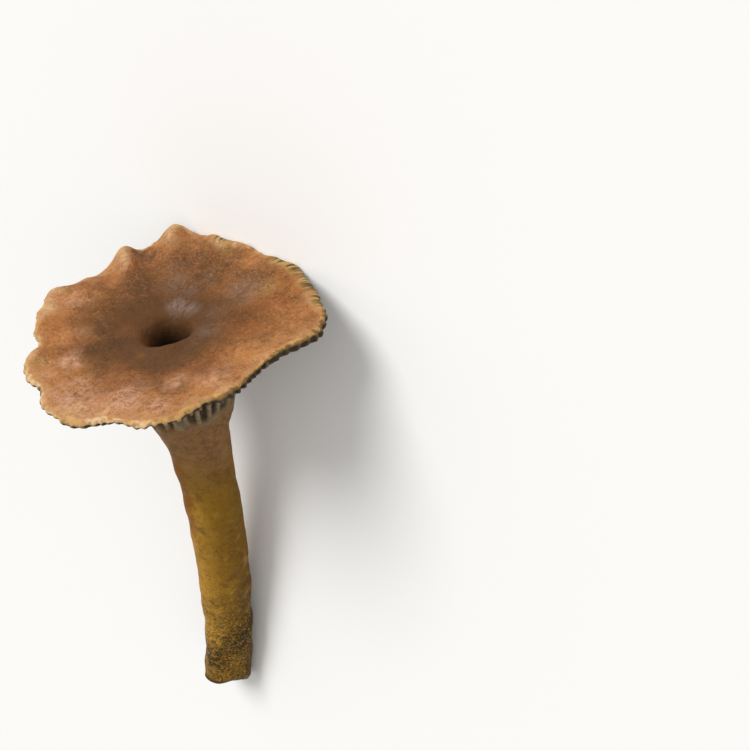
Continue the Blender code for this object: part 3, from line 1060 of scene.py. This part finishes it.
@dataclass(frozen=True)
class FruitBody:
    """The whole mushroom as one fine mesh."""

    section: Section = Section()
    line: MiddleLine = MiddleLine()
    margin: Margin = Margin()
    ridges: Ridges = Ridges()
    lying: Lying = Lying()
    relief: Relief = Relief()
    flesh: Flesh = Flesh()
    patches: tuple[Patch, ...] = PATCHES
    folds: tuple[Fold, ...] = FOLDS
    # Height below which the hollow's painted shade starts, in millimetres
    hollow_from: float = 74.6
    spread_from: float = 4.0
    rise_power: float = 3.0
    # The slanted tear of the foot: degrees round it, and rise in millimetres
    torn: Outline = (
        (0.0, -0.6), (18.0, -0.3), (36.0, 0.4), (75.0, 0.6), (120.0, 0.5), (180.0, 0.2), (210.0, 0.6),
        (255.0, 1.1), (290.0, 1.7), (315.0, 1.3), (330.0, 0.7), (345.0, -0.1), (360.0, -0.6),
    )
    torn_below: float = 7.0
    torn_full_at: float = 3.6
    stem_oval: float = 0.035
    stem_furrow: float = 0.03
    stem_furrow_turn: float = 1.0
    rows: tuple[int, ...] = (30, 46, 12, 56, 106, 16)
    columns: tuple[int, ...] = (96, 384, 768, 768, 192, 96)

    def placed(self, radius: Array, height: Array, degrees: Array) -> Array:
        """Spreads points of the section out to the margin and bends them to the stem's middle line.

        Args:
            radius: distances from the middle, in millimetres.
            height: heights above the foot, in millimetres.
            degrees: angles round from the right towards the back.

        Returns:
            Upright places in millimetres.
        """
        even = self.section.even_reach
        out = np.maximum(radius - self.spread_from, 0.0) / (even - self.spread_from)
        reach, rise = self.margin.at(degrees)
        height = height + rise * out**self.rise_power
        height = height + np.sum([fold.rise(radius, degrees) for fold in self.folds], axis=0)
        radius = radius + out * (reach - even)
        turn = np.radians(degrees)
        tear = np.interp(np.mod(degrees, 360.0), *np.array(self.torn).T)
        tear = tear * np.minimum(radius / self.torn_full_at, 1.0)
        height = height + tear * ease(self.torn_below, 0.0, height)
        furrowed = self.stem_furrow * np.cos(3.0 * turn + self.stem_furrow_turn)
        uneven = self.stem_oval * np.cos(2.0 * turn) + furrowed
        radius = radius * (1.0 + (1.0 - out) * uneven)
        middle, right, back = self.line.frame_at(height)
        across = np.cos(turn)[..., None] * right + np.sin(turn)[..., None] * back
        return middle + radius[..., None] * across

    def tinted(self, tint: Tint, radius: Array, degrees: Array) -> Array:
        """Returns how strong a tint's patches are, 0 to 1, at distances from the middle and angles."""
        return np.max([patch.on(radius, degrees) for patch in self.patches if patch.tint is tint], axis=0)

    def band(self, stretch: Stretch) -> dict[str, Array]:
        """Makes the rings of one stretch, row by row.

        Args:
            stretch: which stretch.

        Returns:
            What the finish reads at each point, by name. The point's upright place is one of them.
        """
        shape = (self.rows[stretch.value], self.columns[stretch.value])
        rows, columns = shape
        shares, points, normals = self.section.sample(stretch, rows)
        column = np.broadcast_to(np.arange(columns) / columns * self.ridges.count, shape)
        degrees = self.ridges.degrees(column)
        margin = np.full(shape, self.section.even_reach)
        grid = Grid(
            stretch,
            share=np.broadcast_to(shares[:, None], shape),
            column=column,
            degrees=degrees,
            radius=np.broadcast_to(points[:, :1], shape),
            notched=self.tinted(Tint.NOTCH, margin, degrees),
        )
        height = points[:, 1:] - self.ridges.hang(grid)
        furrow = self.ridges.furrow(grid)
        lift = self.relief.lift(grid, self.placed(grid.radius, height, degrees))
        lift = lift - furrow * self.ridges.depth(grid)
        radius = grid.radius + normals[:, :1] * lift - self.ridges.drawn_in(grid, furrow)
        places = self.placed(radius, height + normals[:, 1:] * lift, degrees)
        along = self.section.along(stretch, rows)[:, None] + np.zeros(shape)
        turn = np.radians(degrees)
        on_top = stretch in (Stretch.HOLLOW, Stretch.DISH, Stretch.EDGE)
        values = {
            "along": along,
            "under": along + self.ridges.notched_lip * grid.notched,
            "height": places[..., 2],
            "side": np.cos(turn),
            "furrow": furrow,
            # How far down the hollow a point lies, which the hollow's painted shade reads
            "sunk": np.maximum(self.hollow_from - height, 0.0) * on_top,
            "grain": np.stack((margin * np.cos(turn), margin * np.sin(turn), along), axis=-1),
            "upright": places,
        }
        values.update({tint.value: self.tinted(tint, grid.radius, degrees) * on_top for tint in Tint})
        return values

    def faces(self) -> list[Face]:
        """Joins the rings with faces, and closes both ends.

        Returns:
            Faces as point numbers.
        """
        counts = [count for rows, count in zip(self.rows, self.columns) for _ in range(rows)]
        starts = np.cumsum([0, *counts]).tolist()
        rings = [range(start, start + count) for start, count in zip(starts, counts)]
        faces = [tuple(rings[0])]
        for upper, lower in zip(rings, rings[1:]):
            faces += self.joined(upper, lower)
        return [*faces, tuple(reversed(rings[-1]))]

    def joined(self, upper: range, lower: range) -> list[Face]:
        """Joins two rings, with fans where one has several times the points of the other.

        Args:
            upper: point numbers of the upper ring.
            lower: point numbers of the lower ring.

        Returns:
            Faces as point numbers.
        """
        count = len(upper)
        if count == len(lower):
            pairs = [(k, (k + 1) % count) for k in range(count)]
            return [(upper[k], lower[k], lower[n], upper[n]) for k, n in pairs]
        few, many = sorted((upper, lower), key=len)
        per = len(many) // len(few)
        half = per // 2
        faces = []
        for k, corner in enumerate(few):
            beyond = few[(k + 1) % len(few)]
            fan = [many[(k * per + j) % len(many)] for j in range(per + 1)]
            pieces = [(corner if j < half else beyond, fan[j], fan[j + 1]) for j in range(per)]
            pieces.append((corner, fan[half], beyond))
            faces += pieces if few is upper else [piece[::-1] for piece in pieces]
        return faces

    def build(self) -> bpy.types.Object:
        """Builds the mesh where the mushroom lies, with the values that its finish reads.

        Returns:
            The piece, not dressed yet.
        """
        bands = [self.band(stretch) for stretch in Stretch]
        values = {
            name: np.concatenate([band[name].reshape(-1, *sample.shape[2:]) for band in bands])
            for name, sample in bands[0].items()
        }
        move = np.array(self.lying.matrix())
        laid = (values["upright"] @ move[:3, :3].T + move[:3, 3]) * MM
        laid[:, 2] = np.maximum(laid[:, 2], 0.0)
        mesh = bpy.data.meshes.new(SKIN)
        mesh.from_pydata(laid.tolist(), [], self.faces())
        mesh.validate()
        mesh.shade_smooth()
        for name, value in values.items():
            kind, slot = ("FLOAT", "value") if value.ndim == 1 else ("FLOAT_VECTOR", "vector")
            mesh.attributes.new(name, kind, "POINT").data.foreach_set(slot, value.ravel())
        return put(SKIN, mesh)

    def dress(self, piece: bpy.types.Object) -> None:
        """Gives the mesh its flesh and its place in the shared frame.

        Args:
            piece: the piece.
        """
        piece.data.materials.append(self.flesh.material())
        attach(piece, BODY)
        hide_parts(NODE)


@dataclass(frozen=True)
class Light:
    """A soft light: where it shines from, seen from the upright mushroom, and how wide it is in degrees."""

    name: str
    towards: Triple
    softness: float
    strength: float


@dataclass(frozen=True)
class Studio:
    """Pale floor, soft light and a camera that keeps the photograph's view of the mushroom."""

    lying: Lying = Lying()
    floor_colour: str = "#f4f3f1"
    floor_roughness: float = 0.9
    floor_half: float = 3.0
    lights: tuple[Light, ...] = (
        Light("key", (-0.62, -0.3, 0.72), 30.0, 2.2),
        Light("fill", (0.5, -0.8, 0.3), 60.0, 0.25),
    )
    sky_colour: Colour = (1.0, 0.99, 0.98, 1.0)
    sky_strength: float = 0.55
    lens: float = 58.0
    sensor_width: float = 36.0
    nearest: float = 0.01
    camera_at: Triple = (26.21, -135.94, 172.32)
    camera_pitch: float = 38.0

    def build(self) -> None:
        """Builds the floor, the lights and the camera."""
        self.floor()
        for light in self.lights:
            self.shine(light)
        self.sky()
        self.camera()

    def floor(self) -> None:
        """Lays the floor of matt card."""
        mesh = bpy.data.meshes.new("floor")
        half = self.floor_half
        corners = [(-half, -half, 0), (half, -half, 0), (half, half, 0), (-half, half, 0)]
        mesh.from_pydata(corners, [], [(0, 1, 2, 3)])
        floor = put("floor", mesh)
        material = bpy.data.materials.new("matt_card")
        material.use_nodes = True
        shader = material.node_tree.nodes["Principled BSDF"]
        shader.inputs["Base Color"].default_value = linear(self.floor_colour)
        shader.inputs["Roughness"].default_value = self.floor_roughness
        mesh.materials.append(material)

    def shine(self, light: Light) -> None:
        """Sets up one light.

        Args:
            light: which light.
        """
        data = bpy.data.lights.new(light.name, "SUN")
        data.angle = math.radians(light.softness)
        data.energy = light.strength
        direction = self.lying.matrix().to_3x3() @ Vector(light.towards)
        put(light.name, data).rotation_euler = direction.to_track_quat("Z", "Y").to_euler()

    def sky(self) -> None:
        """Fills the room with pale even light."""
        world = bpy.data.worlds.new("room")
        world.use_nodes = True
        background = world.node_tree.nodes["Background"]
        background.inputs["Color"].default_value = self.sky_colour
        background.inputs["Strength"].default_value = self.sky_strength
        bpy.context.scene.world = world
        bpy.context.scene.view_settings.view_transform = "Standard"

    def camera(self) -> None:
        """Sets up the camera at the photograph's viewing angle on the mushroom."""
        data = bpy.data.cameras.new("camera")
        data.lens = self.lens
        data.sensor_width = self.sensor_width
        data.clip_start = self.nearest
        camera = put("camera", data)
        move = self.lying.matrix()
        turn = Euler((math.radians(90.0 - self.camera_pitch), 0.0, 0.0)).to_matrix()
        place = Matrix.Translation((move @ Vector(self.camera_at)) * MM)
        camera.matrix_world = place @ (move.to_3x3() @ turn).to_4x4()
        bpy.context.scene.camera = camera


def main() -> None:
    """Builds the mushroom and the studio."""
    logging.basicConfig(level=logging.INFO, format="%(message)s")
    body = FruitBody()
    piece = body.build()
    body.dress(piece)
    log.info("built %s with %d faces", piece.name, len(piece.data.polygons))
    Studio().build()


if __name__ == "__main__":
    main()
